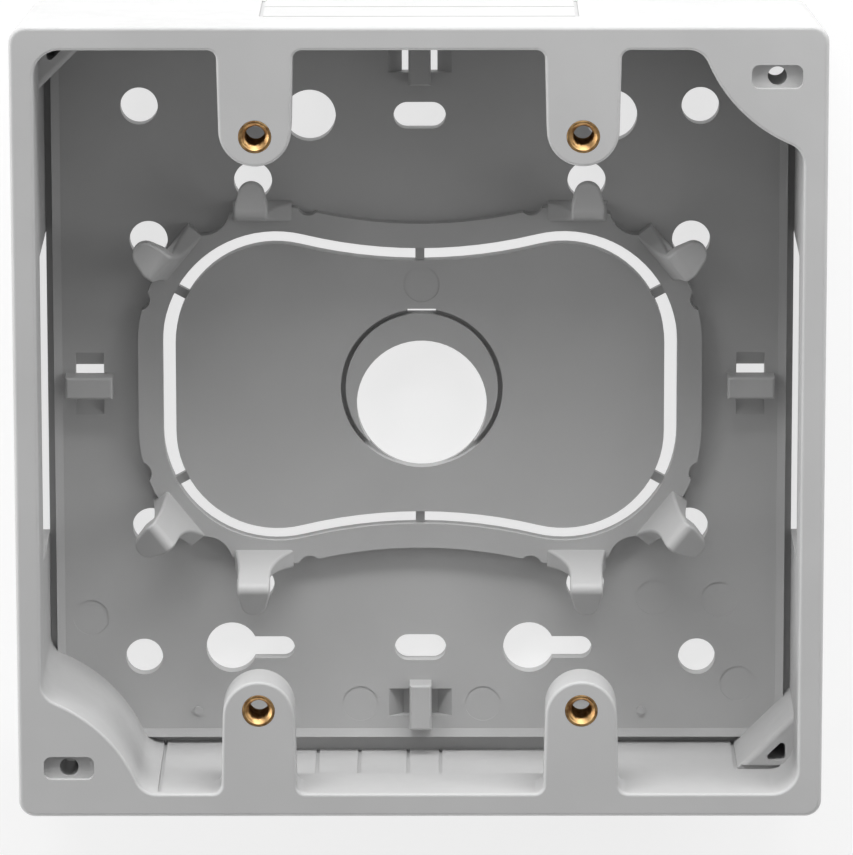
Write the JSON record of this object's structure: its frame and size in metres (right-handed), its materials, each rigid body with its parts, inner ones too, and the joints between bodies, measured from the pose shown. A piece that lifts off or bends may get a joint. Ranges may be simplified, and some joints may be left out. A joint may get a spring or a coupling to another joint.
{
  "type": "double gang mounting box",
  "caption": "Square surface mounting box with a raised dog-bone cable spool, retaining fingers, knock-outs, fixing holes and brass screw inserts in its front tabs.",
  "frame": {"origin": "centre of the back face, which goes against the wall", "axes": "+Z out of the wall towards the open front, +Y up the wall, +X to the right"},
  "size_m": [0.1148, 0.1148, 0.0295],
  "materials": {
    "box_plastic": "fine moulded texture, neutral light grey",
    "insert_brass": "turned brass"
  },
  "bodies": {
    "root": {"mounting_box": "box_plastic", "insert_top_left": "insert_brass", "insert_top_right": "insert_brass", "insert_bottom_left": "insert_brass", "insert_bottom_right": "insert_brass"}
  },
  "joints": []
}
